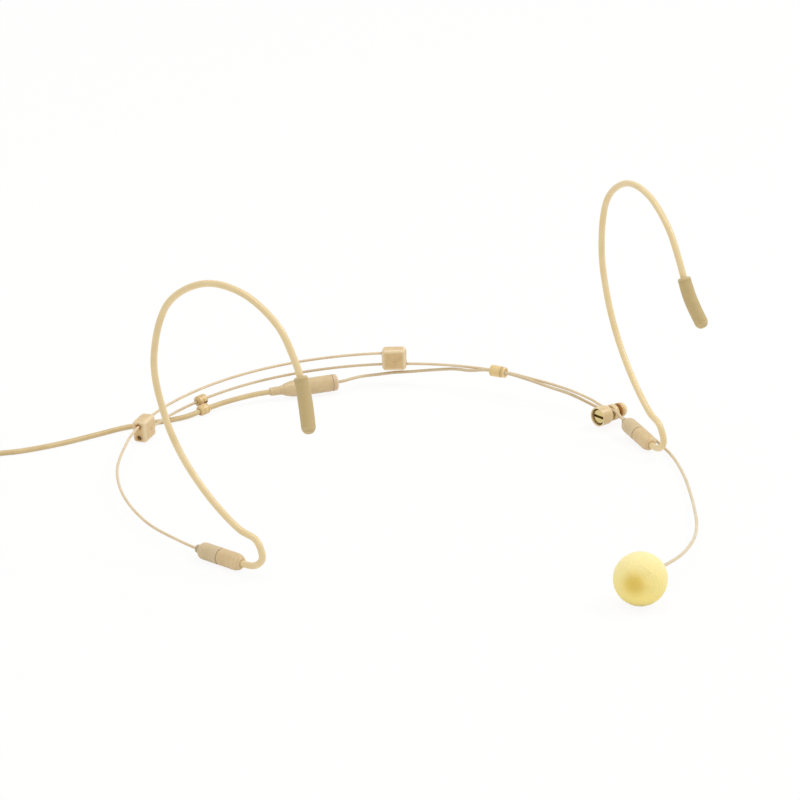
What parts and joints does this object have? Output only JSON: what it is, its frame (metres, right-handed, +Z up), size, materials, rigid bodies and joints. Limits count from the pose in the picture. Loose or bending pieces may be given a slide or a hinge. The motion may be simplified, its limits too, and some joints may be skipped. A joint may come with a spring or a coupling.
{
  "type": "headset microphone",
  "caption": "Slim beige headset microphone with wire ear hooks on a telescopic neckband, a swinging boom with a foam ball windscreen, and a thin cable with a jack plug.",
  "frame": {"origin": "middle of the headset's footprint on the table, without its cable", "axes": "+Z up, -Y the way the wearer faces, +X the side with the boom"},
  "size_m": [0.1707, 0.2529, 0.0738],
  "materials": {
    "spring_steel": "drawn wire",
    "brass": "turned",
    "hook_vinyl": "satin vinyl sleeve",
    "tip_rubber": "soft matte",
    "ferrule_plastic": "fine matte",
    "wire_coat": "satin coating on spring wire",
    "block_plastic": "moulded, semi-gloss",
    "connector_plastic": "satin",
    "nose_plastic": "satin",
    "clamp_plastic": "satin",
    "knob_plastic": "satin",
    "boom_vinyl": "satin coating on bendable wire",
    "capsule_metal": "satin",
    "grille_metal": "fine mesh",
    "windscreen_foam": "open-cell foam",
    "cable_vinyl": "satin vinyl",
    "plug_rubber": "matte",
    "plug_metal": "satin plated"
  },
  "bodies": {
    "right_side": {"right_band_wire": "wire_coat", "left_slide_block": "block_plastic", "cable_clip": "block_plastic", "boom_bead": "block_plastic", "boom_lead": "boom_vinyl", "clamp_barrel": "clamp_plastic", "clamp_ring": "clamp_plastic", "clamp_knob": "knob_plastic", "connector_collar": "connector_plastic", "connector_shell": "connector_plastic", "connector_nose": "nose_plastic", "contact_insert": "brass", "right_wire_socket": "ferrule_plastic", "right_swivel_pin": "spring_steel", "cable": "cable_vinyl", "cable_coil": "cable_vinyl", "cable_tail": "cable_vinyl", "plug_boot": "plug_rubber", "plug_shell": "plug_metal", "plug_pin": "brass"},
    "left_side": {"left_band_wire": "wire_coat", "right_slide_block": "block_plastic", "left_wire_socket": "ferrule_plastic", "left_swivel_pin": "spring_steel"},
    "left_hook": {"left_swivel_barrel": "ferrule_plastic", "left_hook_tube": "hook_vinyl", "left_hook_core": "spring_steel", "left_hook_tip": "tip_rubber"},
    "right_hook": {"right_swivel_barrel": "ferrule_plastic", "right_hook_tube": "hook_vinyl", "right_hook_core": "spring_steel", "right_hook_tip": "tip_rubber"},
    "boom_arm": {"boom": "boom_vinyl", "mic_capsule": "capsule_metal", "mic_grille": "grille_metal"},
    "windscreen": {"foam_windscreen": "windscreen_foam"},
    "screw": {"clamp_screw": "brass"}
  },
  "joints": [
    {"name": "neckband_length", "type": "hinge", "parent": "right_side", "child": "left_side", "pos_m": [-0.0014, 0.0247, 0.0053], "axis": [-0.0558, 0, 0.9984], "range_deg": [0, 28]},
    {"name": "left_hook_swivel", "type": "hinge", "parent": "left_side", "child": "left_hook", "pos_m": [-0.06933, -0.00302, 0.0022], "axis": [-0.2147, 0.9767, 0], "range_deg": [-12, 35]},
    {"name": "right_hook_swivel", "type": "hinge", "parent": "right_side", "child": "right_hook", "pos_m": [0.06653, -0.00305, 0.00295], "axis": [-0.2136, -0.9713, -0.1045], "range_deg": [-12, 35]},
    {"name": "boom_swing", "type": "hinge", "parent": "right_side", "child": "boom_arm", "pos_m": [0.0693, 0.0126, 0.0036], "axis": [-0.9976, -0.0698, 0], "range_deg": [0, 35]},
    {"name": "windscreen_pull", "type": "slide", "parent": "boom_arm", "child": "windscreen", "axis": [-0.9352, -0.348, 0.0652], "range_m": [0, 0.014]},
    {"name": "clamp_screw_turn", "type": "hinge", "parent": "right_side", "child": "screw", "pos_m": [0.0693, 0.0126, 0.0036], "axis": [-0.9976, -0.0698, 0], "continuous": true}
  ]
}
